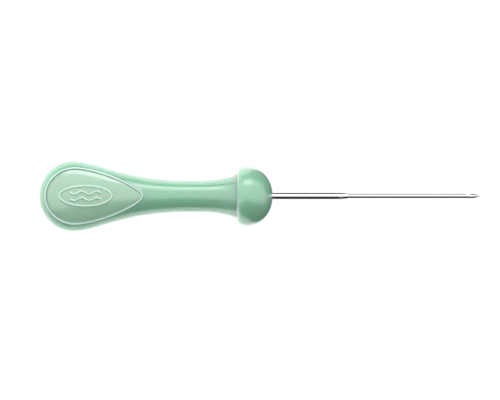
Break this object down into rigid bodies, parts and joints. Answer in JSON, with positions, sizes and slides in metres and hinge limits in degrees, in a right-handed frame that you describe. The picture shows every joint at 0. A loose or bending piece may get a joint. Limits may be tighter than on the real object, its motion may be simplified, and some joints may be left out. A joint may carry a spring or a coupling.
{
  "type": "hooked awl",
  "caption": "Hooked awl: translucent plastic paddle handle with thumb pads and a domed finger stop, and a stepped steel needle with a small hook at its tip.",
  "frame": {"origin": "on the tool's axis, where the steel shank leaves the front of the knob", "axes": "+X along the needle towards the hook, +Y the side that the hook opens to, +Z square to the front thumb pad"},
  "size_m": [0.1301, 0.0208, 0.0178],
  "materials": {
    "handle_plastic": "glossy, slightly translucent mint moulding",
    "pad_plastic": "satin mint moulding",
    "collar_steel": "turned",
    "polished_steel": "polished"
  },
  "bodies": {
    "root": {"handle_body": "handle_plastic", "front_pad": "pad_plastic", "back_pad": "pad_plastic", "nose_knob": "handle_plastic", "anchor_collar": "collar_steel", "shank_sleeve": "polished_steel", "sleeve_ferrule": "polished_steel", "hook_needle": "polished_steel"}
  },
  "joints": []
}
